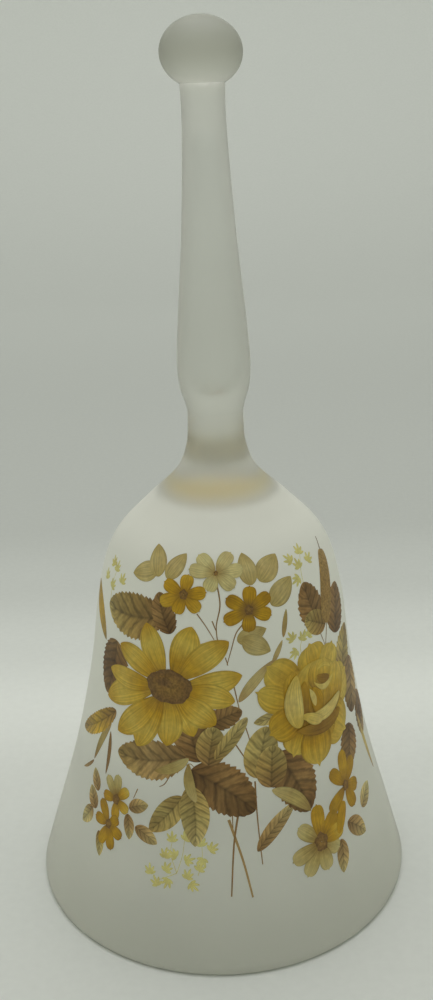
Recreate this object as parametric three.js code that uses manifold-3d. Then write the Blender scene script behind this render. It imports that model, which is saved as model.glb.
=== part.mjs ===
// A frosted glass hand bell: a flared shell with a solid neck, a hollow baluster handle, a ball knob, and a
// clapper that hangs in the crown from a cemented wire eye by a short chain.
// Millimetres, +Z up. The origin is the centre of the mouth, on the plane that the bell stands on.
import * as THREE from "three";
import { mergeVertices } from "three/addons/utils/BufferGeometryUtils.js";
import Module from "manifold-3d";

const wasm = await Module();
wasm.setup();

// ---- Driving dimensions ----
const HEIGHT = 179.2; // from the mouth to the top of the knob
const MOUTH_RADIUS = 41.25;
const FOOT_INNER_RADIUS = 39.1; // the ground flat that the bell stands on runs from here
const FOOT_OUTER_RADIUS = 40.5; // to here
const CROWN_INSIDE = 91.0; // height of the top of the hollow
const NECK_TOP = 106.0; // the shell ends and the handle begins
const NECK_RADIUS = 5.62;
const HANDLE_TOP = 167.6;
const STEM_RADIUS = 4.1; // the handle's thinnest place, under the knob
const GAP = 0.3; // between pieces that touch or are cemented together

// Blown by hand, the glass bows sideways by this much between its mouth and its knob.
const BOW = 1.05;
const BOW_SPAN = 190;

const CEMENT_FLOOR = 86.6; // underside of the resin that fills the top of the crown
const WIRE_RADIUS = 0.5; // of the eye, the chain and the clapper's pin
const EYE_RING_RADIUS = 1.7; // to the middle of the wire
const PIN_RING_RADIUS = 1.5;
const LINK_LENGTH = 9.0; // outside
const LINK_WIDTH = 4.6; // outside
const LINK_COUNT = 8;
const LINK_PLAY = 0.25; // between one link's wire and the next
const BEAD_RADIUS = 7.5;
const BEAD_BORE_RADIUS = 0.8;
const PIN_HEAD_RADIUS = 1.4;
const PIN_HEAD_FLAT = 1.0; // radius of its flat faces, inside the chamfered edge
const PIN_HEAD_HEIGHT = 1.2;

const SHELL_SIDES = 48;
const STEM_SIDES = 24;
const SMALL_SIDES = 20;
const WIRE_SIDES = 10;

const WIRE = WIRE_RADIUS * 2;
const EYE_Z = CEMENT_FLOOR - GAP - EYE_RING_RADIUS - WIRE_RADIUS; // middle of the eye's ring
const FIRST_PIVOT_Z = EYE_Z - EYE_RING_RADIUS; // middle of the wire that the first link hangs on
const LINK_RISE = WIRE + LINK_PLAY; // from a pivot up to the hanging link's own wire
const PITCH = LINK_LENGTH - 2 * WIRE - LINK_PLAY; // from one pivot to the next
const CLAPPER_PIVOT_Z = FIRST_PIVOT_Z - LINK_COUNT * PITCH;
const PIN_RING_Z = CLAPPER_PIVOT_Z + LINK_RISE - PIN_RING_RADIUS;
const BEAD_Z = PIN_RING_Z - PIN_RING_RADIUS - WIRE_RADIUS - GAP - BEAD_RADIUS;

const bow = (z) => BOW * Math.sin((Math.PI * z) / BOW_SPAN);
const CHAIN_X = bow(EYE_Z); // the clapper hangs plumb under the middle of the crown

// ---- Materials ----
const glass = (name, color, roughness) =>
  new THREE.MeshStandardMaterial({ name, color, roughness, transparent: true, opacity: 0.6 });
const frosted = (name) => glass(name, 0xdfe3d8, 0.6);
const polished = (name) => glass(name, 0xe6ece8, 0.08);
const steel = (name) =>
  new THREE.MeshStandardMaterial({ name, color: 0xb9b4a6, roughness: 0.3, metalness: 1 });
const resin = (name) => new THREE.MeshStandardMaterial({ name, color: 0xd0a04a, roughness: 0.35 });

// ---- Shape helpers ----
const at = (radius, height) => new THREE.Vector2(radius, height);

// A smooth outline through a few points of (radius, height).
const through = (points, steps) => new THREE.SplineCurve(points).getPoints(steps);

// An elliptical arc in the (radius, height) plane, from one angle to another, in degrees.
function arc(radius, height, across, up, from, to, steps) {
  return Array.from({ length: steps + 1 }, (_, i) => {
    const angle = THREE.MathUtils.degToRad(from + ((to - from) * i) / steps);
    return at(radius + across * Math.cos(angle), height + up * Math.sin(angle));
  });
}

// Turns an outline of (radius, height) round the Z axis.
function turned(outline, sides) {
  return new THREE.LatheGeometry(outline, sides).rotateX(Math.PI / 2);
}

// Moves each vertex sideways as the hand-blown glass bows.
function bowed(geometry) {
  const position = geometry.getAttribute("position");
  for (let i = 0; i < position.count; i++) {
    position.setX(i, position.getX(i) + bow(position.getZ(i)));
  }
  return geometry;
}

// One closed solid from several overlapping closed geometries.
function joined(geometries) {
  const solids = geometries.map((geometry) => {
    geometry.deleteAttribute("normal");
    geometry.deleteAttribute("uv");
    const merged = mergeVertices(geometry, 1e-4);
    const mesh = new wasm.Mesh({
      numProp: 3,
      vertProperties: new Float32Array(merged.attributes.position.array),
      triVerts: new Uint32Array(merged.index.array),
    });
    return new wasm.Manifold(mesh);
  });
  const whole = solids.reduce((a, b) => a.add(b)).getMesh();
  return new THREE.BufferGeometry()
    .setAttribute("position", new THREE.BufferAttribute(whole.vertProperties, 3))
    .setIndex(new THREE.BufferAttribute(whole.triVerts, 1));
}

// A ring of wire standing upright in the XZ plane.
const wireRing = (radius) =>
  new THREE.TorusGeometry(radius, WIRE_RADIUS, WIRE_SIDES, SMALL_SIDES).rotateX(Math.PI / 2);

// An upright round bar between two heights.
function bar(radius, low, high) {
  return turned([at(0, low), at(radius, low), at(radius, high), at(0, high)], WIRE_SIDES);
}

function named(name, geometry, material) {
  const mesh = new THREE.Mesh(geometry, material);
  mesh.name = name;
  return mesh;
}

// ---- Glass ----

// The hollow inside the shell, from the top of the crown down to the mouth.
const hollow = through(
  [at(0, CROWN_INSIDE), at(5.2, 89.9), at(9.6, 87.0), at(14.6, 81.6), at(19.2, 75.6), at(22.4, 68.0),
    at(25.4, 52.5), at(30.0, 31.0), at(35.6, 12.2), at(38.7, 2.4)],
  18,
);

// The outside, from above the lip up to the neck.
const skirt = through(
  [at(MOUTH_RADIUS, 1.6), at(38.05, 12.4), at(32.55, 31.0), at(28.2, 51.0), at(25.8, 67.4), at(22.4, 78.7),
    at(15.35, 86.7), at(8.55, 93.3), at(6.1, 98.8), at(NECK_RADIUS, 104.0)],
  18,
);

function bellShell() {
  const roll = 1.0; // how far up the lip is rounded over
  const lipInside = arc(FOOT_INNER_RADIUS, roll, 0.5, roll, 180, 270, 2);
  const lipOutside = arc(FOOT_OUTER_RADIUS, roll, MOUTH_RADIUS - FOOT_OUTER_RADIUS, roll, 270, 350, 3);
  const neck = [at(NECK_RADIUS, NECK_TOP), at(0, NECK_TOP)];
  return bowed(turned([...hollow, ...lipInside, ...lipOutside, ...skirt, ...neck], SHELL_SIDES));
}

// A blown stem. Its hollow ends in solid glass under the knob, and in a narrow bore at the neck.
function handle() {
  const foot = NECK_TOP + GAP;
  const boreRadius = 1.4;
  const boreTop = 109.0;
  const inside = through(
    [at(0, 159.5), at(1.9, 157.5), at(2.5, 150.0), at(3.9, 133.0), at(5.3, 119.5), at(4.8, 114.0),
      at(2.4, 110.6)],
    12,
  );
  const outside = through(
    [at(NECK_RADIUS, foot), at(6.1, 108.0), at(7.0, 111.2), at(7.3, 116.2), at(6.68, 125.0),
      at(5.37, 139.5), at(4.52, 152.5), at(STEM_RADIUS, 162.0), at(STEM_RADIUS + 0.1, HANDLE_TOP)],
    16,
  );
  const bore = [at(boreRadius, boreTop), at(boreRadius, foot)];
  return bowed(turned([...inside, ...bore, ...outside, at(0, HANDLE_TOP)], STEM_SIDES));
}

// A flattened ball, cut off level where it sits on the stem.
function knob() {
  const foot = HANDLE_TOP + GAP;
  const across = 7.65; // half its width
  const up = 6.35; // half its height, before the cut
  const middle = HEIGHT - up;
  const start = THREE.MathUtils.radToDeg(Math.asin((foot - middle) / up));
  return bowed(turned([at(0, foot), ...arc(0, middle, across, up, start, 90, 13)], STEM_SIDES));
}

// ---- Clapper hanger ----

// Resin poured into the top of the crown, with a blind hole for the eye's shank.
const SHANK_TOP = 89.2;

function cementPlug() {
  const holeRadius = WIRE_RADIUS + GAP;
  const hole = [at(0, SHANK_TOP + GAP), at(holeRadius, SHANK_TOP + GAP), at(holeRadius, CEMENT_FLOOR)];
  const dome = hollow
    .filter((point) => point.y - GAP > CEMENT_FLOOR + 0.2)
    .map((point) => at(Math.max(point.x - GAP, 0), point.y - GAP))
    .reverse();
  const edge = at(9.2, CEMENT_FLOOR);
  return bowed(turned([...hole, edge, ...dome], STEM_SIDES));
}

function hangerEye() {
  const ring = wireRing(EYE_RING_RADIUS).translate(0, 0, EYE_Z);
  const shank = bar(WIRE_RADIUS, EYE_Z + EYE_RING_RADIUS, SHANK_TOP);
  return joined([ring, shank]);
}

// ---- Chain ----

// An oval link of round wire, standing upright in the XZ plane, with its middle at the origin.
function chainLink() {
  const turns = 14;
  const bend = (LINK_WIDTH - WIRE) / 2;
  const halfStraight = (LINK_LENGTH - LINK_WIDTH) / 2;
  const link = new THREE.TorusGeometry(bend, WIRE_RADIUS, 8, turns);
  link.rotateZ(Math.PI / turns); // so that no section lies where the two ends are pulled apart
  const position = link.getAttribute("position");
  for (let i = 0; i < position.count; i++) {
    position.setY(i, position.getY(i) + Math.sign(position.getY(i)) * halfStraight);
  }
  return link.rotateX(Math.PI / 2);
}

// The links hang in each other, each turned a quarter against the one above it.
function chain() {
  const links = new THREE.Group();
  for (let k = 0; k < LINK_COUNT; k++) {
    const link = named(`chain_link_${k + 1}`, chainLink(), steel("chain_steel"));
    const pivot = FIRST_PIVOT_Z - k * PITCH;
    link.position.z = pivot + LINK_RISE + WIRE_RADIUS - LINK_LENGTH / 2;
    link.rotation.z = k % 2 === 0 ? Math.PI / 2 : 0;
    links.add(link);
  }
  return links;
}

// ---- Clapper ----

function clapperBead() {
  const start = THREE.MathUtils.radToDeg(Math.acos(BEAD_BORE_RADIUS / BEAD_RADIUS));
  const ball = arc(0, BEAD_Z, BEAD_RADIUS, BEAD_RADIUS, -start, start, 16);
  return turned([...ball, ball[0].clone()], STEM_SIDES);
}

// Wire that runs through the bead: a ring above it and a flattened head below it.
function clapperPin() {
  const ring = wireRing(PIN_RING_RADIUS).rotateZ(Math.PI / 2).translate(0, 0, PIN_RING_Z);
  const headTop = BEAD_Z - BEAD_RADIUS - GAP / 2;
  const shank = bar(WIRE_RADIUS, headTop - PIN_HEAD_HEIGHT / 2, PIN_RING_Z - PIN_RING_RADIUS);
  const head = turned(
    [at(0, headTop - PIN_HEAD_HEIGHT), at(PIN_HEAD_FLAT, headTop - PIN_HEAD_HEIGHT),
      at(PIN_HEAD_RADIUS, headTop - PIN_HEAD_HEIGHT / 2), at(PIN_HEAD_FLAT, headTop), at(0, headTop)],
    SMALL_SIDES,
  );
  return joined([ring, shank, head]);
}

// ---- Assembly ----
const bell = new THREE.Group();
bell.add(
  named("bell_shell", bellShell(), frosted("shell_glass")),
  named("handle", handle(), frosted("handle_glass")),
  named("knob", knob(), frosted("knob_glass")),
  named("cement_plug", cementPlug(), resin("amber_resin")),
);

const clapper = new THREE.Group();
clapper.position.x = CHAIN_X;
clapper.add(
  named("hanger_eye", hangerEye(), steel("eye_steel")),
  chain(),
  named("clapper_bead", clapperBead(), polished("bead_glass")),
  named("clapper_pin", clapperPin(), steel("pin_steel")),
);
bell.add(clapper);

export default bell;
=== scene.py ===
"""Frosted glass hand bell with a printed spray of flowers, a hollow handle, and a chain-hung clapper inside.

Lengths in this file are millimetres and angles are degrees, until mesh_object() and the camera turn them
into Blender's metres and radians. A place on the skirt is (azimuth, height): azimuth 0 faces the camera
and grows to the right.
"""

import math

import bpy
import numpy as np
from mathutils import Matrix, Vector


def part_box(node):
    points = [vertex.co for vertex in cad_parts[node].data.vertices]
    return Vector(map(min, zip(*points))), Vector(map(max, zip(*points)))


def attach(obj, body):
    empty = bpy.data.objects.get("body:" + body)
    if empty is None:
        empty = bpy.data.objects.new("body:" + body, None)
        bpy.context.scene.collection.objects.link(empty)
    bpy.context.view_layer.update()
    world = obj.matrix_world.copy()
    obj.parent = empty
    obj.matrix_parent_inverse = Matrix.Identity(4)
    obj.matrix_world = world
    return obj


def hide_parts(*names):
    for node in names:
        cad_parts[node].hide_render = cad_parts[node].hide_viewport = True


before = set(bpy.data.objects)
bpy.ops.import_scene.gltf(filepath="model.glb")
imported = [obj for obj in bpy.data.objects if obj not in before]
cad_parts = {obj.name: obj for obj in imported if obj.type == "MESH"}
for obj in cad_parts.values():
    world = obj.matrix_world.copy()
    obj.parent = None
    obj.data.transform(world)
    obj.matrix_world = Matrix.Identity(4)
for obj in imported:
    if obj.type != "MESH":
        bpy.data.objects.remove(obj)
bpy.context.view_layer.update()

MM = 0.001
BELL = "bell"


def lowest(node):
    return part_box(node)[0].z / MM


def highest(node):
    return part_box(node)[1].z / MM


# ---- Sizes, from the frame ----
NECK_TOP = highest("bell_shell")
HANDLE_TOP = highest("handle")
KNOB_TOP = highest("knob")
MOUTH_RADIUS = (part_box("bell_shell")[1].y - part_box("bell_shell")[0].y) / 2 / MM
KNOB_RADIUS = (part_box("knob")[1].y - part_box("knob")[0].y) / 2 / MM
CEMENT_FLOOR = lowest("cement_plug")
NECK_RADIUS = 5.62
LIP_INSIDE = 39.1  # the lip's flat face runs from here to LIP_OUTSIDE, with a round corner on each side
LIP_OUTSIDE = 40.5
LIP_HEIGHT = 1.0
KNOB_HALF_HEIGHT = 6.35
RESIN_RADIUS = 9.8  # the resin touches the glass only inside this radius and below RESIN_TOP
RESIN_TOP = 91.1
TOUCHING = 0.01  # a face this near the height of a joint lies in it
CREASE = math.radians(50)  # faces that meet at more than this have a sharp edge between them

# The hand-blown glass bows sideways, as the CAD model does.
BOW = 1.05
BOW_SPAN = 190.0


def bow(height):
    return BOW * np.sin(np.pi * np.asarray(height) / BOW_SPAN)


# ---- Colours ----
def srgb(*levels):
    """A linear colour from 0 to 255 screen levels."""
    parts = (level / 255 for level in levels)
    return tuple(v / 12.92 if v < 0.0404 else ((v + 0.055) / 1.055) ** 2.4 for v in parts)


GOLD = srgb(192, 151, 26)
SHADE = srgb(170, 131, 30)
YELLOW = srgb(200, 160, 38)
OCHRE = srgb(204, 168, 52)
LEMON = srgb(216, 190, 84)
STRAW = srgb(224, 204, 120)
CREAM = srgb(212, 202, 140)
PALE = srgb(205, 192, 132)
SPRIG = srgb(224, 218, 140)
BASE = srgb(142, 106, 36)
BROWN = srgb(148, 116, 68)
DARK = srgb(112, 82, 42)
BARK = srgb(124, 94, 54)
TAN = srgb(178, 150, 96)
REED = srgb(170, 138, 76)
MOSS = srgb(166, 140, 78)
OLIVE = srgb(184, 166, 100)
SAGE = srgb(200, 184, 124)
DISC = srgb(152, 118, 58)


def mixed(a, b, amount):
    amount = np.asarray(amount)[..., None]
    return np.asarray(a) * (1 - amount) + np.asarray(b) * amount


# The two tones that drift through every ink, like a watercolour that dried unevenly.
WARM_WASH = (0.9, 0.84, 0.78)
COOL_WASH = (1.0, 1.0, 0.98)

# Painted light and shade on the backdrop, as screen levels at a distance behind the bell, from nearest to
# farthest: a pool of light just behind the bell, fading further back, and shade towards the camera.
BACKDROP_PAINTED_LIGHT = (
    (-700, 205), (-60, 226), (0, 224), (21, 228), (66, 241), (103, 228), (149, 212), (209, 201),
    (397, 200), (700, 207), (1200, 228),
)

# The glass's tint, by height, with painted shade: the grey band through the middle of the solid knob.
GLASS_TINT_AND_KNOB_SHADE = (
    (0, srgb(252, 252, 241)), (80, srgb(252, 252, 240)), (96, srgb(251, 250, 239)),
    (106, srgb(249, 248, 241)), (164, srgb(249, 248, 243)), (168, srgb(252, 251, 244)),
    (173, srgb(212, 211, 200)), (179.2, srgb(252, 251, 245)),
)
BUBBLE_TINT = srgb(251, 252, 252)

# Painted glow: the resin's yellow showing through the thick glass over it, painted into the glass's colour at
# these heights.
PAINTED_GLOW = ((89.4, 0.0), (91.8, 0.3), (94.2, 0.0))
PAINTED_GLOW_COLOUR = srgb(250, 228, 130)

# How far the etched glass lets light through, by height: the rest of it scatters like milk glass.
CLEARNESS = (
    (0, 0.55), (28, 0.3), (45, 0.1), (74, 0.04), (80, 0.12), (86, 0.07), (88.4, 0.1),
    (90.2, 0.42), (93, 0.42), (95.5, 0.3), (98, 0.6), (101, 0.95), (110, 1.0),
)


# ---- Materials ----
class Look:
    """A Principled material, with short ways to add nodes to it."""

    def __init__(self, name, **sockets):
        self.material = bpy.data.materials.new(name)
        self.material.use_nodes = True
        self.tree = self.material.node_tree
        self.shader = self.tree.nodes["Principled BSDF"]
        for socket, value in sockets.items():
            self.shader.inputs[socket.replace("_", " ")].default_value = value

    def node(self, kind, inputs=(), **settings):
        made = self.tree.nodes.new(kind)
        for key, value in settings.items():
            setattr(made, key, value)
        for key, value in dict(inputs).items():
            if isinstance(value, bpy.types.NodeSocket):
                self.tree.links.new(value, made.inputs[key])
            else:
                made.inputs[key].default_value = value
        return made

    def drive(self, socket, value):
        self.tree.links.new(value, self.shader.inputs[socket])

    def math(self, operation, a, b=0.0, clamp=False):
        return self.node("ShaderNodeMath", {0: a, 1: b}, operation=operation, use_clamp=clamp).outputs[0]

    def place(self):
        return self.node("ShaderNodeTexCoord").outputs["Object"]

    def noise(self, scale, detail=3.0, where=None, roughness=0.5):
        inputs = {"Vector": where or self.place(), "Scale": scale, "Detail": detail, "Roughness": roughness}
        return self.node("ShaderNodeTexNoise", inputs).outputs["Fac"]

    def between(self, fac, low, high, start=0.3, end=0.7):
        """fac from start to end becomes low to high."""
        inputs = {"Value": fac, "From Min": start, "From Max": end, "To Min": low, "To Max": high}
        return self.node("ShaderNodeMapRange", inputs).outputs["Result"]

    def mix(self, fac, a, b, blend="MIX"):
        made = self.node("ShaderNodeMix", {"Factor": fac}, data_type="RGBA", blend_type=blend)
        for key, value in ((6, a), (7, b)):
            if isinstance(value, bpy.types.NodeSocket):
                self.tree.links.new(value, made.inputs[key])
            else:
                made.inputs[key].default_value = (*value, 1.0)
        return made.outputs[2]

    def ramp(self, coordinate, stops):
        """A smooth colour ramp along an object coordinate. stops are (millimetres, colour), in order."""
        first, last = stops[0][0], stops[-1][0]
        along = self.between(coordinate, 0, 1, first * MM, last * MM)
        made = self.node("ShaderNodeValToRGB", {0: along})
        made.color_ramp.interpolation = "EASE"
        elements = made.color_ramp.elements
        for i, (place, colour) in enumerate(stops):
            position = (place - first) / (last - first)
            element = elements[0] if i == 0 else elements[-1] if place == last else elements.new(position)
            element.position = position
            element.color = (*colour, 1) if isinstance(colour, tuple) else (colour, colour, colour, 1)
        return made.outputs["Color"]

    def grey(self, value):
        return self.node("ShaderNodeCombineColor", {0: value, 1: value, 2: value}).outputs[0]

    def bump(self, height, strength, distance):
        inputs = {"Height": height, "Strength": strength, "Distance": distance * MM}
        self.drive("Normal", self.node("ShaderNodeBump", inputs).outputs["Normal"])


def etched(look, tint):
    """The fine even grain and faint clouding of acid-etched glass."""
    cloud = look.between(look.noise(60.0), 0.97, 1.0)
    look.drive("Base Color", look.mix(1.0, tint, look.grey(cloud), "MULTIPLY"))
    look.drive("Roughness", look.between(look.noise(900.0), 0.5, 0.58))
    look.bump(look.noise(6500.0, detail=1.0), 0.25, 0.02)
    return look.material


def frosted_glass():
    """The outside of the bell, milkiest on its shoulder, with painted shade through the middle of the solid
    knob and the resin's glow painted over the crown.
    """
    look = Look("frosted_glass", IOR=1.35)
    height = look.node("ShaderNodeSeparateXYZ", {0: look.place()}).outputs[2]
    look.drive("Transmission Weight", look.ramp(height, CLEARNESS))
    # Painted light and shade in the glass's colour: the resin's glow over the crown and shade through the
    # knob's middle.
    return etched(look, look.mix(look.ramp(height, PAINTED_GLOW), look.ramp(height, GLASS_TINT_AND_KNOB_SHADE), PAINTED_GLOW_COLOUR))


def bubble_glass():
    """The wall of the bubble in the handle. Its low index keeps it faint, as it is in etched glass."""
    return etched(Look("bubble_glass", IOR=1.12, Transmission_Weight=1.0), BUBBLE_TINT)


def clear_joint():
    """Where two gathers of glass were fused there is no surface left to see."""
    material = bpy.data.materials.new("clear_joint")
    material.use_nodes = True
    tree = material.node_tree
    clear = tree.nodes.new("ShaderNodeBsdfTransparent")
    tree.links.new(clear.outputs[0], tree.nodes["Material Output"].inputs["Surface"])
    tree.nodes.remove(tree.nodes["Principled BSDF"])
    return material


def bead_glass():
    look = Look("bead_glass", Transmission_Weight=1.0, IOR=1.5)
    look.drive("Base Color", look.mix(look.noise(150.0), srgb(232, 240, 236), srgb(250, 252, 250)))
    look.drive("Roughness", look.between(look.noise(400.0), 0.03, 0.09))
    return look.material


def amber_resin():
    """Set resin, deepest in colour where it's thickest, round the shank of the eye."""
    look = Look("amber_resin", Roughness=0.4, Subsurface_Weight=0.15, Subsurface_Scale=2 * MM)
    across, back, _ = look.node("ShaderNodeSeparateXYZ", {0: look.place()}).outputs
    squares = look.math("POWER", across, 2.0), look.math("POWER", back, 2.0)
    reach = look.math("SQRT", look.math("ADD", *squares))
    amber = look.mix(look.noise(260.0), srgb(232, 196, 20), srgb(244, 210, 50))
    rim = look.between(reach, 0.0, 1.0, 5.0 * MM, 9.4 * MM)
    look.drive("Base Color", look.mix(rim, amber, srgb(240, 232, 190)))
    look.bump(look.noise(700.0), 0.3, 0.1)
    return look.material


def chain_metal():
    """Plain round wire, dulled in small patches of tarnish."""
    look = Look("chain_metal", Metallic=1.0)
    tarnish = look.between(look.noise(500.0, detail=5.0), 0.0, 1.0, 0.45, 0.7)
    look.drive("Base Color", look.mix(tarnish, srgb(198, 194, 182), srgb(140, 128, 104)))
    look.drive("Roughness", look.between(tarnish, 0.24, 0.46, 0.0, 1.0))
    look.bump(look.noise(2400.0), 0.2, 0.02)
    return look.material


def enamel(name, pattern):
    """Fired enamel print. Its colour is the mesh's own ink, mottled like watercolour.

    The UV map "shape" runs 0 to 1 along each petal or leaf, and -1 to 1 across it.
    """
    look = Look(name, Roughness=0.5, Specular_IOR_Level=0.35)
    ink = look.node("ShaderNodeAttribute", attribute_name="ink").outputs["Color"]
    shape = look.node("ShaderNodeUVMap", uv_map="shape").outputs["UV"]
    mottle = look.between(look.noise(900.0, detail=4.0), 0.88, 1.12)
    tone = look.grey(pattern(look, shape, mottle))
    wash = look.mix(look.between(look.noise(330.0, detail=2.0), 0, 1), WARM_WASH, COOL_WASH)
    look.drive("Base Color", look.mix(1.0, look.mix(1.0, ink, tone, "MULTIPLY"), wash, "MULTIPLY"))
    look.drive("Roughness", look.between(look.noise(1500.0), 0.42, 0.6))
    look.bump(look.noise(3500.0, detail=2.0), 0.15, 0.02)
    return look.material


def stretched(look, shape, along, across):
    """The petal's own coordinates, scaled unevenly so that noise draws lines along it."""
    drifting = look.node("ShaderNodeVectorMath", {0: look.place(), 1: (60.0,) * 3}, operation="MULTIPLY")
    scaled = look.node("ShaderNodeVectorMath", {0: shape, 1: (along, across, 0.0)}, operation="MULTIPLY")
    inputs = {0: drifting.outputs[0], 1: scaled.outputs[0]}
    return look.node("ShaderNodeVectorMath", inputs, operation="ADD").outputs[0]


def petal_pattern(look, shape, mottle):
    """Fine brush lines from the base of the petal to its tip, and a thin darker edge."""
    side = look.math("ABSOLUTE", look.node("ShaderNodeSeparateXYZ", {0: shape}).outputs[1])
    lines = look.noise(1.0, detail=3.0, where=stretched(look, shape, 1.3, 8.0))
    edge = look.between(side, 1.05, 0.84, 0.8, 1.0)
    return look.math("MULTIPLY", look.math("MULTIPLY", mottle, edge), look.between(lines, 0.74, 1.16))


def leaf_pattern(look, shape, mottle):
    """A dark midrib, thin veins that sweep forward from it with hatching between, and a paler margin."""
    along, across = look.node("ShaderNodeSeparateXYZ", {0: shape}).outputs[:2]
    side = look.math("ABSOLUTE", across)
    drift = look.between(look.noise(300.0), -0.2, 0.2)
    sweep = look.math("SUBTRACT", look.math("MULTIPLY", along, 8.0), look.math("MULTIPLY", side, 1.4))
    gap = look.math("PINGPONG", look.math("ADD", sweep, drift), 0.5)
    veins = look.between(gap, 0.6, 1.1, 0.0, 0.26)
    midrib = look.between(side, 0.62, 1.0, 0.0, 0.12)
    half = look.between(across, 0.84, 1.12, -0.15, 0.15)
    margin = look.between(side, 0.9, 1.14, 0.0, 1.0)
    strokes = look.node("ShaderNodeCombineXYZ", {0: look.math("MULTIPLY", sweep, 3.0), 1: side}).outputs[0]
    hatching = look.between(look.noise(1.0, where=strokes), 0.7, 1.24)
    shade = mottle
    for part in (veins, midrib, half, margin, hatching):
        shade = look.math("MULTIPLY", shade, part)
    return shade


def plain_pattern(look, shape, mottle):
    return mottle


def speckled_pattern(look, shape, mottle):
    """Stippled dots of a seed head."""
    dots = look.between(look.noise(2200.0, detail=2.0), 0.62, 1.2)
    return look.math("MULTIPLY", mottle, dots)


def backdrop_paper():
    """Pale paper with a painted pool of light just behind the bell and painted shade towards the camera, and
    clear from below to show the bell's inside.
    """
    look = Look("backdrop_paper", Roughness=0.9, Specular_IOR_Level=0.2)
    behind = look.node("ShaderNodeSeparateXYZ", {0: look.place()}).outputs[1]
    # The ramp paints the pool of light behind the bell and the shade towards the camera.
    tones = [(place, srgb(level, level + 3, level - 3)) for place, level in BACKDROP_PAINTED_LIGHT]
    grain = look.between(look.noise(500.0), 0.985, 1.015)
    look.drive("Base Color", look.mix(1.0, look.ramp(behind, tones), look.grey(grain), "MULTIPLY"))
    look.bump(look.noise(700.0), 0.1, 0.2)
    from_below = look.node("ShaderNodeNewGeometry").outputs["Backfacing"]
    clear = look.node("ShaderNodeBsdfTransparent").outputs[0]
    surface = look.node("ShaderNodeMixShader", {0: from_below, 1: look.shader.outputs[0], 2: clear})
    look.tree.links.new(surface.outputs[0], look.tree.nodes["Material Output"].inputs["Surface"])
    return look.material


FROSTED = frosted_glass()
BUBBLE = bubble_glass()
CLEAR = clear_joint()
PETAL = enamel("petal_enamel", petal_pattern)
LEAF = enamel("leaf_enamel", leaf_pattern)
PLAIN = enamel("plain_enamel", plain_pattern)
SEED = enamel("seed_enamel", speckled_pattern)


# ---- Meshes ----
def mesh_object(name, points, faces, materials, body=None, face_materials=None):
    """A smooth-shaded object from points in millimetres."""
    mesh = bpy.data.meshes.new(name)
    mesh.from_pydata((np.asarray(points) * MM).tolist(), [], faces)
    for material in materials:
        mesh.materials.append(material)
    if face_materials is not None:
        mesh.polygons.foreach_set("material_index", face_materials)
    mesh.polygons.foreach_set("use_smooth", [True] * len(mesh.polygons))
    mesh.validate()
    mesh.update()
    made = bpy.data.objects.new(name, mesh)
    bpy.context.scene.collection.objects.link(made)
    if body:
        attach(made, body)
    return made


def through(points, steps):
    """A smooth outline through a few points, the same curve as the CAD model's."""
    p = np.array([points[0], *points, points[-1]], float)
    spans = len(points) - 1
    out = []
    for f in np.linspace(0, spans, steps + 1):
        i = min(int(f), spans - 1)
        w = f - i
        a, b, c, d = p[i : i + 4]
        v, u = (c - a) / 2, (d - b) / 2
        out.append((2 * b - 2 * c + v + u) * w**3 + (-3 * b + 3 * c - 2 * v - u) * w**2 + v * w + b)
    return np.array(out)


def arc(radius, height, across, up, start, end, steps):
    """An elliptical arc of (radius, height)."""
    angle = np.radians(np.linspace(start, end, steps + 1))
    return np.stack([radius + across * np.cos(angle), height + up * np.sin(angle)], 1)


def turned(outlines, sides):
    """Points and faces of outlines turned round the Z axis. A point of radius 0 becomes a pole."""
    points, faces = [], []
    around = np.radians(np.arange(sides) * 360 / sides)
    for outline in outlines:
        rings = []
        for radius, height in outline:
            if radius < 1e-6:
                rings.append([len(points)])
                points.append((0.0, 0.0, height))
            else:
                rings.append(list(range(len(points), len(points) + sides)))
                points.extend((radius * math.cos(a), radius * math.sin(a), height) for a in around)
        for low, high in zip(rings, rings[1:]):
            for i in range(sides):
                j = (i + 1) % sides
                if len(low) == 1:
                    faces.append((low[0], high[j], high[i]))
                elif len(high) == 1:
                    faces.append((low[i], low[j], high[0]))
                else:
                    faces.append((low[i], low[j], high[j], high[i]))
    return np.array(points), faces


def bowed(points):
    points = points.copy()
    points[:, 0] += bow(points[:, 2])
    return points


# ---- Glass ----
HOLLOW = through(
    [(0, 91.0), (5.2, 89.9), (9.6, 87.0), (14.6, 81.6), (19.2, 75.6), (22.4, 68.0), (25.4, 52.5),
     (30.0, 31.0), (35.6, 12.2), (38.7, 2.4)],
    90,
)
SKIRT = through(
    [(MOUTH_RADIUS, 1.6), (38.05, 12.4), (32.55, 31.0), (28.2, 51.0), (25.8, 67.4), (22.4, 78.7),
     (15.35, 86.7), (8.55, 93.3), (6.1, 98.8), (NECK_RADIUS, 104.0)],
    117,
)
LIP_CORNER = arc(LIP_OUTSIDE, LIP_HEIGHT, MOUTH_RADIUS - LIP_OUTSIDE, LIP_HEIGHT, 270, 350, 8)
GLASS_SIDES = 144


def glass_piece(name, outlines, is_bonded, node):
    """A closed, bowed body of frosted glass.

    The second outline, if there is one, is a bubble inside the first. is_bonded tells, from radius and
    height, where the glass is fused to its neighbour or wetted by the resin, and has no surface to see.
    """
    points, faces = turned(outlines, GLASS_SIDES)
    bonded = is_bonded(np.hypot(points[:, 0], points[:, 1]), points[:, 2])
    is_joint = np.array([bonded[list(face)].all() for face in faces]).astype(int)
    points = bowed(points)
    is_bubble = np.arange(len(faces)) >= (len(outlines[0]) - 1) * GLASS_SIDES
    kinds = np.where(is_bubble, 2, is_joint)
    piece = mesh_object(name, points, faces, [FROSTED, CLEAR, BUBBLE], BELL, kinds)
    piece.data.set_sharp_from_angle(angle=CREASE)
    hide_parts(node)


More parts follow.
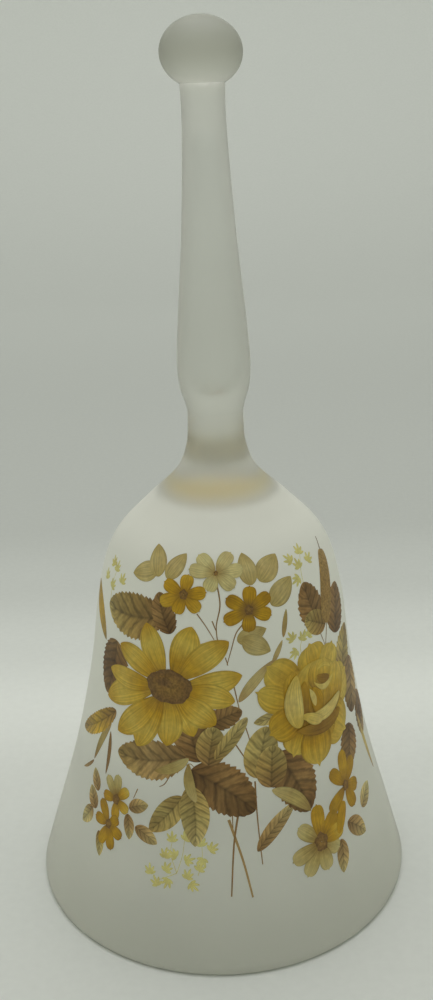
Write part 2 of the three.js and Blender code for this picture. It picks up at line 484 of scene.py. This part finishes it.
def bell_shell():
    lip_inside = arc(LIP_INSIDE, LIP_HEIGHT, 0.5, LIP_HEIGHT, 180, 270, 8)
    outline = [*HOLLOW, *lip_inside, *LIP_CORNER, *SKIRT, (NECK_RADIUS, NECK_TOP), (0, NECK_TOP)]

    def is_bonded(radius, height):
        in_resin = (radius < RESIN_RADIUS) & (height > CEMENT_FLOOR + 0.4) & (height < RESIN_TOP)
        return in_resin | (height > NECK_TOP - TOUCHING)

    glass_piece("shell_glass", [outline], is_bonded, "bell_shell")


def handle():
    """The stem's outside, and the sealed bubble that was blown inside it."""
    outside = through(
        [(NECK_RADIUS, NECK_TOP), (6.1, 108.0), (7.0, 111.2), (7.3, 116.2), (6.68, 125.0), (5.37, 139.5),
         (4.52, 152.5), (4.1, 162.0), (4.2, HANDLE_TOP)],
        96,
    )
    bubble = through(
        [(0, 159.5), (1.9, 157.5), (2.5, 150.0), (3.9, 133.0), (5.3, 119.5), (4.8, 114.0), (2.4, 110.6),
         (0, 109.7)],
        56,
    )
    outline = [(0, NECK_TOP), *outside, (0, HANDLE_TOP)]

    def is_bonded(radius, height):
        return (height < NECK_TOP + TOUCHING) | (height > HANDLE_TOP - TOUCHING)

    glass_piece("handle_glass", [outline, bubble], is_bonded, "handle")


def knob():
    middle = KNOB_TOP - KNOB_HALF_HEIGHT
    start = math.degrees(math.asin((HANDLE_TOP - middle) / KNOB_HALF_HEIGHT))
    ball = arc(0, middle, KNOB_RADIUS, KNOB_HALF_HEIGHT, start, 89.9, 48)[:-1]

    def is_bonded(radius, height):
        return height < HANDLE_TOP + TOUCHING

    glass_piece("knob_glass", [[(0, HANDLE_TOP), *ball, (0, KNOB_TOP)]], is_bonded, "knob")


# ---- Resin, chain and clapper ----
WIRE = 0.5  # radius of the wire
WIRE_SIDES = 12
LINK_TURNS = np.radians(np.arange(48) * 7.5 + 3.75)  # directions of the points round a link


def wire_loop(path):
    """Points and faces of round wire along a flat, closed path."""
    count = len(path)
    ahead = np.roll(path, -1, 0) - np.roll(path, 1, 0)
    ahead /= np.linalg.norm(ahead, axis=1)[:, None]
    flat = np.linalg.svd(path - path.mean(0))[2][-1]
    side = np.cross(ahead, flat)
    side /= np.linalg.norm(side, axis=1)[:, None]
    up = np.cross(side, ahead)
    angle = np.radians(np.arange(WIRE_SIDES) * 360 / WIRE_SIDES)[None, :, None]
    ring = side[:, None] * np.cos(angle) + up[:, None] * np.sin(angle)
    points = (path[:, None] + WIRE * ring).reshape(-1, 3)
    number = np.arange(count * WIRE_SIDES).reshape(count, WIRE_SIDES)
    beside = np.roll(number, -1, 1)
    quads = np.stack([number, beside, np.roll(beside, -1, 0), np.roll(number, -1, 0)], -1)
    return points, quads.reshape(-1, 4).tolist()


def finished(piece, node):
    piece.data.set_sharp_from_angle(angle=CREASE)
    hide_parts(node)


def chain(metal):
    for k in range(1, 9):
        node = f"chain_link_{k}"
        low, high = (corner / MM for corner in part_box(node))
        middle = (low + high) / 2
        width = max(high.x - low.x, high.y - low.y)
        bend = width / 2 - WIRE
        straight = (high.z - low.z - width) / 2
        out = bend * np.cos(LINK_TURNS)
        up = bend * np.sin(LINK_TURNS) + np.sign(np.sin(LINK_TURNS)) * straight
        along_x = high.x - low.x > high.y - low.y
        path = np.stack([out, 0 * out, up] if along_x else [0 * out, out, up], 1) + np.array(middle)
        finished(mesh_object(f"link_{k}", *wire_loop(path), [metal], f"link_{k}"), node)


def resin_plug():
    top = HOLLOW[HOLLOW[:, 1] > CEMENT_FLOOR + 0.5][::-1] - (0.2, 0.2)
    top[-1] = (0, top[-1][1])
    edge = arc(9.1, CEMENT_FLOOR + 0.15, 0.2, 0.25, 270, 360, 4)
    dish = through([(0, CEMENT_FLOOR + 0.5), (4.5, CEMENT_FLOOR + 0.35), (8.4, CEMENT_FLOOR - 0.05)], 12)
    points, faces = turned([[*dish, *edge, *top]], 64)
    piece = mesh_object("resin", bowed(points), faces, [amber_resin()], BELL)
    finished(piece, "cement_plug")


bell_shell()
handle()
knob()
resin_plug()
METAL = chain_metal()
chain(METAL)
for node, material in (("hanger_eye", METAL), ("clapper_pin", METAL), ("clapper_bead", bead_glass())):
    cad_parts[node].data.materials.clear()
    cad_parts[node].data.materials.append(material)


# ---- The print ----
OUTER = np.concatenate([LIP_CORNER, SKIRT])
OUTER_LENGTH = np.concatenate([[0], np.cumsum(np.linalg.norm(np.diff(OUTER, axis=0), axis=1))])
OUTER_SLOPE = np.gradient(OUTER, OUTER_LENGTH, axis=0)
INK_THICKNESS = 0.07
LAYER = 0.014  # how far each layer of ink stands above the one under it
TOOTH = 0.13  # depth of a leaf's teeth, as a part of its half width
LEAST_WIDTH = 0.03  # least half width of a brush stroke, as a part of its greatest


def on_skirt(azimuth, height, across, up, lift):
    """Points that lie across and up along the glass from a place on the skirt, and lift out from it."""
    start = np.interp(height, OUTER[:, 1], OUTER_LENGTH)
    along = start + up
    radius, level, out, rise = (
        np.interp(along, OUTER_LENGTH, column)
        for column in (OUTER[:, 0], OUTER[:, 1], OUTER_SLOPE[:, 1], OUTER_SLOPE[:, 0])
    )
    angle = np.radians(azimuth) + across / radius
    radius = radius + out * lift
    level = level - rise * lift
    return np.stack([radius * np.sin(angle) + bow(level), -radius * np.cos(angle), level], -1)


def offset(place, target):
    """How far across and up along the glass a target is from a place."""
    radius = np.interp(target[1], OUTER[:, 1], OUTER[:, 0])
    start, end = np.interp((place[1], target[1]), OUTER[:, 1], OUTER_LENGTH)
    return np.array((math.radians(target[0] - place[0]) * radius, end - start))


class Print:
    """Thin inked patches on the skirt, gathered into one piece."""

    facing = 0.0  # the azimuth of the middle of the spray being printed

    def __init__(self):
        self.points, self.faces, self.inks, self.shapes, self.count = [], [], [], [], 0

    def patch(self, place, grid, ink, shape, layer):
        """One closed patch of a grid of (across, up) from place."""
        rows, columns = grid.shape[:2]
        azimuth, height = place
        top = LAYER * (layer + 1)
        for lift in (top, top - INK_THICKNESS):
            points = on_skirt(azimuth + Print.facing, height, grid[..., 0], grid[..., 1], lift)
            self.points.append(points.reshape(-1, 3))
            self.inks.append(np.broadcast_to(ink, (rows, columns, 3)).reshape(-1, 3))
            self.shapes.append(shape.reshape(-1, 2))
        size = rows * columns
        number = self.count + np.arange(size).reshape(rows, columns)
        quad = np.stack([number[:-1, :-1], number[1:, :-1], number[1:, 1:], number[:-1, 1:]], -1)
        quad = quad.reshape(-1, 4)
        rim = np.concatenate([number[0, :-1], number[:-1, -1], number[-1, :0:-1], number[:0:-1, 0]])
        ahead = np.roll(rim, -1)
        self.faces.append(quad)
        self.faces.append(quad[:, ::-1] + size)
        self.faces.append(np.stack([rim, ahead, ahead + size, rim + size], -1))
        self.count += 2 * size

    def finish(self, name, material):
        points = np.concatenate(self.points)
        faces = np.concatenate(self.faces).tolist()
        piece = mesh_object(name, points, faces, [material], BELL)
        mesh = piece.data
        ink = np.ones((len(points), 4), np.float32)
        ink[:, :3] = np.concatenate(self.inks)
        mesh.attributes.new("ink", "FLOAT_COLOR", "POINT").data.foreach_set("color", ink.ravel())
        corner = np.empty(len(mesh.loops), np.int32)
        mesh.loops.foreach_get("vertex_index", corner)
        shapes = np.concatenate(self.shapes)[corner]
        mesh.uv_layers.new(name="shape").data.foreach_set("uv", shapes.astype(np.float32).ravel())
        mesh.set_sharp_from_angle(angle=math.radians(40))


PETALS, LEAVES, STEMS, SEEDS = Print(), Print(), Print(), Print()


def washed(inks, along):
    """Inks blended in order from one end of a brush stroke to the other."""
    places = np.linspace(0, 1, len(inks))
    return np.stack([np.interp(along, places, channel) for channel in zip(*inks)], -1)


def brush(kind, place, base, tip, width, inks, layer, widest=0.5, point=0.7, bend=0.0, teeth=0, veins=8,
          ruffle=0.0, rows=20, columns=9):
    """One petal or leaf from base to tip, both (across, up) from place.

    widest is where along it the width peaks, and a higher point makes its ends sharper. bend moves its middle
    sideways by a part of its length, and ruffle scallops the tip. inks run from the base to the tip.
    """
    base, reach = np.array(base, float), np.array(tip, float) - np.array(base, float)
    length = math.hypot(*reach)
    ahead = reach / length
    u = (1 - np.cos(np.linspace(0, np.pi, rows))) / 2
    root = point * widest / (1 - widest)
    half = u**root * (1 - u) ** point / (widest**root * (1 - widest) ** point)
    if teeth:
        half = half * (1 - TOOTH * (1 - (u * teeth) % 1.0))
    half = np.maximum(half, LEAST_WIDTH) * width / 2
    u, v = np.meshgrid(u, np.linspace(-1, 1, columns), indexing="ij")
    along = length * (u + ruffle * u**6 * np.cos(4.2 * v))
    across = half[:, None] * v + bend * length * 4 * u * (1 - u)
    grid = base + along[..., None] * ahead + across[..., None] * (-ahead[1], ahead[0])
    kind.patch(place, grid, washed(inks, u), np.stack([u * veins / 8, v], -1), layer)


def leaf(place, length, width, turn, inks, kind=None, **settings):
    """A leaf with its middle at place, that points up from due right by turn."""
    half = length / 2 * np.array((math.cos(math.radians(turn)), math.sin(math.radians(turn))))
    shape = {"layer": 1, "widest": 0.45, "point": 0.75, **settings}
    brush(kind or LEAVES, place, -half, half, width, inks, **shape)


def toothed(place, length, width, turn, inks, **settings):
    """A broad leaf with a toothed edge, like a rose's."""
    teeth = round(length * 0.85)
    leaf(place, length, width, turn, inks, teeth=teeth, veins=6, rows=90, columns=13, point=0.62, **settings)


def disc(place, across, up, inner, outer, layer, rim=0.04, shift=(0, 0)):
    """A flower's seed head, an oval whose rim is a little uneven."""
    angle = np.radians(np.linspace(0, 360, 41))
    rings = np.linspace(1, 0.04, 8)
    wobble = 1 + rim * (np.sin(angle * 5) + np.sin(angle * 13 + 1) * 0.6)
    edge = np.stack([across * np.cos(angle), up * np.sin(angle)], -1) * wobble[:, None]
    grid = np.array(shift) + rings[:, None, None] * edge[None]
    shape = np.stack(np.broadcast_arrays(rings[:, None], angle[None, :] / math.pi - 1), -1)
    ink = mixed(inner, outer, rings[:, None] ** 2 * np.ones(len(angle)))
    SEEDS.patch(place, grid, ink, shape, layer)


def flower(place, tips, width, inks, layer=3, core=0.9):
    """A small open flower. tips are (across, up) from its middle; its petals are round and overlap."""
    for i, tip in enumerate(tips):
        tone = inks[i % len(inks)]
        near = np.array(tip) * 0.06
        brush(PETALS, place, near, tip, width, tone, layer + i % 2, widest=0.66, point=0.36, ruffle=0.03)
    disc(place, core, core * 1.2, DISC, BARK, layer + 3, rim=0.1)


def stem(points, width, ink, layer=0, taper=0.6):
    """A thin stem through places on the skirt."""
    steps = 8 * (len(points) - 1)
    path = through([offset(points[0], point) for point in points], steps)
    ahead = np.gradient(path, axis=0)
    normal = np.stack([-ahead[:, 1], ahead[:, 0]], -1) / np.linalg.norm(ahead, axis=1)[:, None]
    half = np.linspace(1, taper, steps + 1) * width / 2
    u, v = np.meshgrid(np.linspace(0, 1, steps + 1), np.linspace(-1, 1, 3), indexing="ij")
    grid = path[:, None] + normal[:, None] * (half[:, None] * v)[..., None]
    STEMS.patch(points[0], grid, ink, np.stack([u, v], -1), layer)


def sprig(place, size, turn, layer=1):
    """Five tiny yellow-green bracts that part from a point."""
    for spread, reach in ((-66, 0.6), (-30, 0.8), (0, 1.0), (34, 0.85), (70, 0.55)):
        angle = math.radians(turn + spread)
        tip = (size * reach * math.cos(angle), size * reach * math.sin(angle))
        brush(PETALS, place, (0, 0), tip, size * 0.25, (SPRIG, SPRIG), layer, point=0.55, rows=7, columns=3)


def daisy():
    """Long pointed petals, each (tip across, tip up, width) from the middle, and a dark seed head."""
    place = (-22.9, 57.1)
    petals = (
        (-5.5, 12.1, 5.4), (4.3, 12.8, 6.0), (11.6, 10.0, 5.4), (14.5, 2.9, 5.0), (13.3, -2.4, 5.0),
        (9.8, -7.0, 5.6), (0.1, -12.3, 5.8), (-6.8, -14.0, 6.0), (-12.2, -12.7, 5.4), (-16.4, -6.9, 5.4),
        (-15.7, -0.7, 4.6), (-12.4, 5.8, 5.0), (5.6, -9.6, 4.6), (8.2, 9.8, 4.6),
    )
    tones = ((BASE, OCHRE, LEMON, YELLOW), (BASE, GOLD, LEMON, OCHRE), (BASE, YELLOW, LEMON, GOLD))
    for i, (across, up, width) in enumerate(petals):
        bend = 0.035 * (-1) ** i
        layer = 2 if i > 11 else 3 + i % 3  # the last two lie behind the rest
        root = (0.12 * across, 0.12 * up)
        brush(PETALS, place, root, (across, up), width, tones[i % 3], layer, 0.6, 0.76, bend, rows=26)
    disc(place, 4.8, 3.5, DISC, BARK, 8, rim=0.04)
    disc(place, 2.4, 1.3, BARK, DISC, 9, rim=0.06, shift=(-1.0, 0.8))


def rose():
    """A full rose. Its petals are listed from the back to the front: base, tip, width, point, bend, inks."""
    place = (37.0, 53.5)
    gold, pale, lemon = (BASE, GOLD, OCHRE), (SHADE, OCHRE, LEMON), (GOLD, LEMON, LEMON)
    petals = (
        ((3.0, 2.0), (1.7, 9.3), 8.0, 0.4, 0.0, pale),
        ((5.5, 1.0), (9.0, 7.0), 6.8, 0.4, 0.0, lemon),
        ((-1.5, 1.0), (-8.4, 7.4), 7.4, 0.4, 0.0, pale),
        ((-2.5, -1.6), (-11.1, 2.6), 5.8, 0.6, 0.05, pale),
        ((5.0, -4.5), (14.3, -1.2), 9.0, 0.4, 0.0, lemon),
        ((3.0, -5.0), (10.5, -12.6), 9.6, 0.45, 0.0, pale),
        ((1.2, -6.0), (0.9, -16.2), 8.6, 0.6, 0.0, (BASE, GOLD, LEMON)),
        ((-1.5, -3.6), (-9.3, -6.6), 7.0, 0.4, 0.0, gold),
        ((-1.0, -5.0), (-5.0, -12.2), 7.6, 0.5, 0.0, (BASE, GOLD, LEMON)),
        ((2.5, -5.0), (3.6, -12.4), 8.0, 0.4, 0.0, gold),
        ((-2.4, -4.6), (-2.8, 5.0), 6.0, 0.4, 0.0, (SHADE, GOLD, OCHRE)),
        ((2.0, -6.6), (3.6, 5.4), 12.6, 0.4, 0.0, (BASE, GOLD, LEMON)),
        ((4.8, -7.0), (9.6, 2.6), 9.0, 0.4, 0.0, (BASE, OCHRE, LEMON)),
        ((3.2, -1.0), (4.8, 5.2), 7.2, 0.35, 0.0, (BASE, OCHRE, LEMON)),
        ((2.9, 2.2), (6.8, 0.4), 2.1, 0.5, -0.1, (SHADE, BASE)),
        ((2.0, 1.2), (8.2, 0.6), 1.3, 0.5, -0.28, (LEMON, STRAW, LEMON)),
        ((3.0, 3.4), (7.4, 2.6), 1.0, 0.5, 0.2, (LEMON, LEMON)),
        ((-0.4, 2.2), (-1.2, -4.6), 2.8, 0.5, -0.05, (GOLD, SHADE, BASE)),
        ((1.6, 0.2), (2.4, -5.4), 3.4, 0.5, 0.1, (GOLD, GOLD, SHADE)),
        ((0.6, 0.3), (1.8, -3.8), 1.4, 0.7, 0.05, (STRAW, STRAW)),
        ((-3.6, -7.4), (9.2, -7.6), 3.2, 0.5, -0.08, (SHADE, BASE, SHADE)),
        ((-2.4, 4.2), (-3.0, -6.9), 4.4, 0.5, -0.08, (LEMON, STRAW, LEMON)),
        ((-2.0, -5.2), (9.9, -4.2), 2.7, 0.5, -0.13, (LEMON, STRAW, STRAW)),
        ((-1.6, -4.6), (3.2, -7.2), 2.4, 0.45, -0.05, (LEMON, STRAW)),
    )
    for i, (base, tip, width, point, bend, inks) in enumerate(petals):
        is_outer = i < 10
        layer = 3 + i % 4 if is_outer else i - 3
        shape = {"ruffle": 0.05 if is_outer else 0.0, "rows": 22, "columns": 11}
        brush(PETALS, place, base, tip, width, inks, layer, 0.58, point, bend, **shape)


def crown_of_flowers():
    """The small flowers and pale leaves along the top of the spray."""
    cream = ((MOSS, CREAM, CREAM), (MOSS, CREAM, PALE))
    yellow = ((BASE, YELLOW, OCHRE), (BASE, GOLD, YELLOW))
    gold = ((BARK, GOLD, GOLD), (BARK, GOLD, SHADE))
    for place, tips, width, inks, core in (
        ((-2.3, 79.6), ((-12, 82.4), (6, 82.7), (11.5, 80), (6.3, 77), (-6.2, 76.6), (-16.2, 80.1)),
         2.9, cream, 0.4),
        ((-17.6, 75.7), ((-16, 79.2), (-7, 76.3), (-10, 72.8), (-20.7, 72), (-29, 73.6), (-28, 77.5)),
         2.7, yellow, 0.8),
        ((12.4, 72.7), ((13.7, 77), (23, 75), (22.5, 71), (11.7, 68.5), (1, 70.8), (2.3, 75.2)),
         2.8, gold, 0.8),
    ):
        flower(place, [offset(place, tip) for tip in tips], width, inks, layer=5, core=core)

    for i, (place, length, width, turn) in enumerate((
        ((-40.6, 78.4), 6.3, 4.2, -160), ((-35, 80.8), 6.8, 3.9, 112), ((-23.4, 80.4), 6.2, 3.6, 62),
        ((13.6, 80.0), 6.6, 3.8, 98), ((25, 79.6), 6.6, 4.6, 44), ((29.5, 75.0), 7.0, 4.6, 40),
        ((13, 67.8), 6.2, 3.6, 16), ((14.8, 65.6), 6.4, 4.2, -30),
    )):
        inks = (OLIVE, SAGE, OLIVE)
        leaf(place, length, width, turn, inks, kind=PETALS, layer=1 + i % 2, point=0.84, widest=0.42)


def brown_leaves():
    """Toothed leaves behind the two large flowers, and round the edge of the spray."""
    brown, russet, dark = (DARK, BROWN, BROWN), (BROWN, DARK, BROWN), (DARK, BROWN, DARK)
    olive, warm = (BROWN, MOSS, OLIVE), (BROWN, TAN, MOSS)
    for i, (place, length, width, turn, inks) in enumerate((
        ((-44.7, 70), 15.9, 9.8, -174, olive), ((-26.4, 71.7), 8.4, 5.4, 112, brown),
        ((-55, 56.8), 12.5, 9.6, -100, russet), ((-30.1, 41.8), 16.3, 8.6, -169, warm),
        ((-11.5, 47.0), 9.4, 8.0, 103, brown), ((0.8, 51.4), 7.0, 5.0, 24, brown),
        ((-0.6, 36.6), 15.4, 10.4, -34, dark), ((26.2, 36.2), 15.2, 10.0, -66, dark),
        ((57.5, 37.2), 9.0, 7.4, -112, brown), ((-62.6, 43.3), 16.7, 4.8, -143, (BROWN, OCHRE, MOSS)),
        ((46.0, 70.0), 11.0, 7.4, 106, brown), ((65.0, 66.4), 10.5, 9.0, 66, brown),
        ((69.0, 56.4), 10.5, 9.0, 56, (BROWN, OLIVE, MOSS)),
        ((70.0, 47.8), 12.0, 10.0, -112, (BROWN, TAN, DARK)),
        ((75.5, 39.5), 10.0, 8.0, -104, (BROWN, DARK, TAN)),
    )):
        toothed(place, length, width, turn, inks, layer=1 + i % 2, bend=0.04)
    for i, (place, length, width, turn, inks) in enumerate((
        ((-5.0, 45.8), 8.0, 6.0, 82, olive), ((2.8, 47.2), 10.5, 3.0, 52, (MOSS, OLIVE, SAGE)),
        ((14.4, 43.8), 10.6, 7.0, 76, (MOSS, OLIVE, OLIVE)), ((18.0, 40.6), 8.6, 6.6, 84, olive),
        ((46.4, 66.6), 6.6, 5.2, 152, olive),
    )):
        leaf(place, length, width, turn, inks, layer=3 + i % 2, veins=6, point=0.55, columns=13)

    # Edges of leaves that have rolled over and show their pale backs.
    for place, length, width, turn in (
        ((-20.4, 41.2), 8.0, 2.2, -152), ((-12.0, 38.2), 8.0, 2.2, 102), ((24.8, 32.6), 10.5, 3.0, -40),
    ):
        leaf(place, length, width, turn, (SAGE, OLIVE, MOSS), kind=PETALS, layer=5, bend=0.08)


def small_leaves():
    """Plain leaves of the lower flowers, the rose and the edges of the spray."""
    olive, tan = (MOSS, OLIVE, SAGE), (BROWN, TAN, SAGE)
    for i, (place, length, width, turn, inks) in enumerate((
        ((-21.5, 31.1), 10.7, 5.1, -128, (MOSS, OLIVE, MOSS)), ((-11.3, 31.6), 12.5, 6.0, -84, olive),
        ((18.1, 28.3), 12.3, 3.2, 43, tan), ((17.5, 50.4), 5.6, 2.4, -170, (SAGE, OLIVE)),
        ((-55.3, 31.8), 4.8, 2.9, 122, tan), ((-55.2, 28.0), 5.0, 3.3, 128, tan),
        ((-56.7, 23.8), 5.2, 3.4, -120, (BROWN, SAGE, PALE)), ((-32.5, 31.1), 4.9, 3.0, 24, tan),
        ((-35.6, 26.4), 5.2, 2.6, -76, tan), ((-28.2, 25.9), 5.8, 3.1, -22, tan),
        ((-47.3, 20.1), 5.2, 2.4, -72, (BROWN, OLIVE, SAGE)), ((61.5, 24.6), 6.2, 3.8, 30, (TAN, SAGE, PALE)),
        ((51.6, 20.6), 7.2, 4.2, -44, tan), ((41.6, 17.4), 7.0, 3.4, -100, tan),
    )):
        veins = max(5, round(length * 0.7))
        leaf(place, length, width, turn, inks, layer=1 + i % 2, veins=veins, bend=0.03)

    # Grass.
    for place, length, width, turn, inks, bend in (
        ((13.8, 58.3), 10.5, 2.2, 46, (TAN, SAGE, TAN), 0.03), ((24, 63.5), 5.0, 1.1, 60, (TAN, SAGE), 0.0),
        ((28.8, 68.8), 5.6, 1.1, 76, (TAN, OLIVE), 0.0),
        ((-55.6, 40.2), 11.0, 1.7, -113, (TAN, OLIVE, BROWN), -0.04),
        ((-63.2, 33.2), 5.4, 0.8, -138, (BROWN, TAN), 0.05),
        ((-50.8, 38.8), 9.4, 1.1, -88, (BROWN, BROWN), 0.03),
        ((74.0, 33.0), 16.0, 1.6, -78, (TAN, STRAW, TAN), 0.0),
        ((-73, 66.0), 14.0, 3.8, -42, (MOSS, OCHRE, MOSS), 0.05),
    ):
        leaf(place, length, width, turn, inks, kind=PETALS, bend=bend)


def reed_mace():
    """A brown reed head between two leaves, with a spike above it and thin stalks below."""
    head = {"kind": SEEDS, "layer": 4, "widest": 0.5, "point": 0.3, "rows": 30}
    leaf((58.9, 72.1), 15.0, 4.2, 70, (REED, REED, TAN), **head)
    stem(((65, 78.8), (68.5, 80.8)), 0.3, BARK)
    stem(((54.8, 67), (53.0, 63.5), (51.4, 60.9)), 0.3, BROWN)
    stem(((48.6, 66.5), (47.9, 64.9), (50.9, 61)), 0.24, BROWN)


def spray():
    """One printed spray: a daisy and a rose, with smaller flowers, leaves, stems and bracts round them."""
    brown_leaves()
    small_leaves()
    daisy()
    rose()
    crown_of_flowers()
    reed_mace()

    gold, pale = (BASE, GOLD, SHADE), (BASE, OLIVE, PALE)
    lemon, yellow = (BASE, YELLOW, LEMON), (BASE, YELLOW, GOLD)
    for place, tips, width, inks, core in (
        ((-42.8, 30.6), ((-0.3, 5.2), (-3.4, 3.9), (2.9, 3.0), (3.5, -1.6), (0.4, -4.2), (-3.9, -0.4)), 2.3,
         (pale, pale, lemon, lemon, yellow, gold), 0.9),
        ((-44.5, 25.0), ((-3.2, 4.2), (-4.3, 0.0), (4.0, -1.6), (1.8, -5.0), (-1.6, -4.8), (2.4, 2.0)), 2.4,
         (gold, gold, gold, gold, yellow, gold), 0.8),
        ((50.3, 30.2), ((-3.9, 4.8), (0.7, 7.6), (4.2, 4.6), (4.2, -1.8), (-6.0, -3.4), (1.6, -5.4)), 3.0,
         (gold, yellow, gold, gold, gold, gold), 0.9),
        ((34.0, 22.4), ((-4.8, 4.6), (0.2, 7.8), (5.0, 4.6), (6.4, 0.6), (4.4, -3.0), (0.6, -6.2),
                        (-4.6, -5.8), (-7.2, -2.0)), 3.4,
         (pale, yellow, gold, lemon, pale, pale, pale, pale), 1.6),
    ):
        flower(place, tips, width, inks, core=core)
    leaf((44.6, 24.8), 6.6, 2.5, -118, (GOLD, GOLD), kind=PETALS, layer=6, point=0.4)

    for points, width, ink in (
        (((-2, 78), (-0.6, 74), (-2.4, 70), (-1.8, 66.5)), 0.3, BROWN),
        (((-4.2, 71), (-2.6, 69.2)), 0.26, BROWN),
        (((-11, 72.3), (-7, 70), (-3.4, 67.4)), 0.24, BROWN),
        (((9, 70), (6, 68.4), (3.8, 65.4), (1.8, 62.3)), 0.26, BROWN),
        (((1.2, 63.8), (2.2, 62.2)), 0.22, BROWN),
        (((4.4, 58), (5.6, 55), (6.8, 52)), 0.26, BROWN),
        (((7.9, 50.4), (9.6, 47.5), (10.1, 45.7)), 0.26, BROWN),
        (((4.0, 46.4), (7.4, 43.5), (9.9, 41.1)), 0.28, BROWN),
        (((11.2, 38.2), (11.3, 30.9), (12.0, 21.6)), 0.34, BROWN),
        (((1.2, 31.0), (2.9, 28.0), (5.8, 22.4), (8.2, 15.5)), 0.6, TAN),
        (((4.8, 32.6), (2.8, 26.1), (1.6, 16.0)), 0.45, BROWN),
        (((2.4, 33.4), (2.6, 29.3)), 0.26, BROWN),
        (((-20.6, 39.2), (-22.6, 37.2), (-24.6, 36.4)), 0.24, BROWN),
        (((-33.6, 34.6), (-35.0, 32.4)), 0.24, BROWN),
        (((-14.4, 41.6), (-12.8, 42.0), (-10.8, 41.0)), 0.2, TAN),
    ):
        stem(points, width, ink)

    for place, turn in (
        ((-18.3, 26), 95), ((-14, 26.7), 60), ((-8, 25.8), 100), ((-5.4, 25), 40), ((-7.4, 23.4), 250),
        ((-20.6, 22.6), 80), ((-16.4, 23.2), 150), ((-13.5, 22.6), 20), ((-25, 18.8), 100), ((-20, 20), 60),
        ((-18.6, 18.6), 250), ((-22, 16.9), 120), ((-12.7, 19.2), 70), ((-11.4, 18.4), 320), ((-9, 21), 60),
        ((46.8, 80.1), 70), ((39.7, 79.4), 130), ((50.1, 78.3), 40), ((41.1, 76.3), 200), ((43.1, 77.9), 100),
        ((32.3, 64.9), 120), ((36.7, 64.3), 60), ((40.3, 64.6), 40), ((33.7, 62.6), 210),
        ((-62, 76), 90), ((-70, 73.2), 110), ((-63.2, 72.5), 60), ((-55, 74.5), 80), ((-66, 76.5), 120),
    ):
        sprig(place, 2.3, turn)
    for points in (
        ((-16, 20), (-18.5, 23.5), (-18.3, 26)), ((-16, 20), (-14.5, 23.5), (-14, 26.7)),
        ((-16, 20), (-22, 18)), ((-9, 20), (-7.8, 23), (-8, 25.8)), ((43, 74), (43.2, 77), (46.8, 80)),
        ((36, 61), (35.6, 63), (36.7, 64.3)), ((-62, 70), (-62.6, 73), (-62, 76)),
    ):
        stem(points, 0.14, SPRIG)


# The same spray is printed on the front and on the back.
for facing in (0.0, 180.0):
    Print.facing = facing
    spray()
PETALS.finish("print_petals", PETAL)
LEAVES.finish("print_leaves", LEAF)
STEMS.finish("print_stems", PLAIN)
SEEDS.finish("print_seed_heads", SEED)


# ---- Stage, light and camera ----
FLAT_RADIUS = 700  # of the flat part of the floor
COVE_RADIUS = 500
WALL_HEIGHT = 1300
FLOOR_GAP = 0.02  # keeps the floor clear of the lip
SKY_STRENGTH = 0.38
CAMERA_PLACE = (0, -214.4, 166.1)
CAMERA_PITCH, CAMERA_YAW, CAMERA_ROLL = 20.38, 0.20, 1.69
FOCAL_LENGTH, SENSOR_WIDTH = 39.6, 36.0


def stage():
    """A paper floor that curves up all round into a wall."""
    cove = arc(FLAT_RADIUS, COVE_RADIUS, COVE_RADIUS, COVE_RADIUS, -90, 0, 24)
    points, faces = turned([[(0, 0), *cove, (FLAT_RADIUS + COVE_RADIUS, WALL_HEIGHT)]], 96)
    points[:, 2] -= FLOOR_GAP
    floor = mesh_object("stage_floor", points, [face[::-1] for face in faces], [backdrop_paper()])


def area_light(name, place, aim, size, power):
    data = bpy.data.lights.new(name, "AREA")
    data.shape = "DISK"
    data.size = size * MM
    data.energy = power
    made = bpy.data.objects.new(name, data)
    made.location = Vector(place) * MM
    made.rotation_euler = (Vector(aim) - Vector(place)).to_track_quat("-Z", "Y").to_euler()
    bpy.context.scene.collection.objects.link(made)


def lights():
    """A soft, even sky with a large diffuser above."""
    world = bpy.data.worlds.new("studio")
    bpy.context.scene.world = world
    world.use_nodes = True
    background = world.node_tree.nodes["Background"]
    background.inputs["Color"].default_value = (*srgb(244, 244, 240), 1)
    background.inputs["Strength"].default_value = SKY_STRENGTH
    area_light("overhead", (0, 200, 1600), (0, 60, 0), 1400, 10.0)


def camera():
    """Close in, level with the top of the handle and looking down, with a slight tilt of the hand."""
    data = bpy.data.cameras.new("camera")
    data.sensor_width = SENSOR_WIDTH
    data.lens = FOCAL_LENGTH
    data.clip_start = 0.01
    made = bpy.data.objects.new("camera", data)
    pitch, yaw, roll = (math.radians(v) for v in (CAMERA_PITCH, CAMERA_YAW, CAMERA_ROLL))
    ahead = Vector((math.sin(yaw) * math.cos(pitch), math.cos(yaw) * math.cos(pitch), -math.sin(pitch)))
    right = Vector((math.cos(yaw), -math.sin(yaw), 0))
    down = ahead.cross(right)
    tilted_right = math.cos(roll) * right + math.sin(roll) * down
    tilted_down = math.cos(roll) * down - math.sin(roll) * right
    turn = Matrix((tilted_right, -tilted_down, -ahead)).transposed()
    made.matrix_world = Matrix.Translation(Vector(CAMERA_PLACE) * MM) @ turn.to_4x4()
    bpy.context.scene.collection.objects.link(made)
    bpy.context.scene.camera = made


stage()
lights()
camera()
bpy.context.scene.view_settings.view_transform = "Standard"
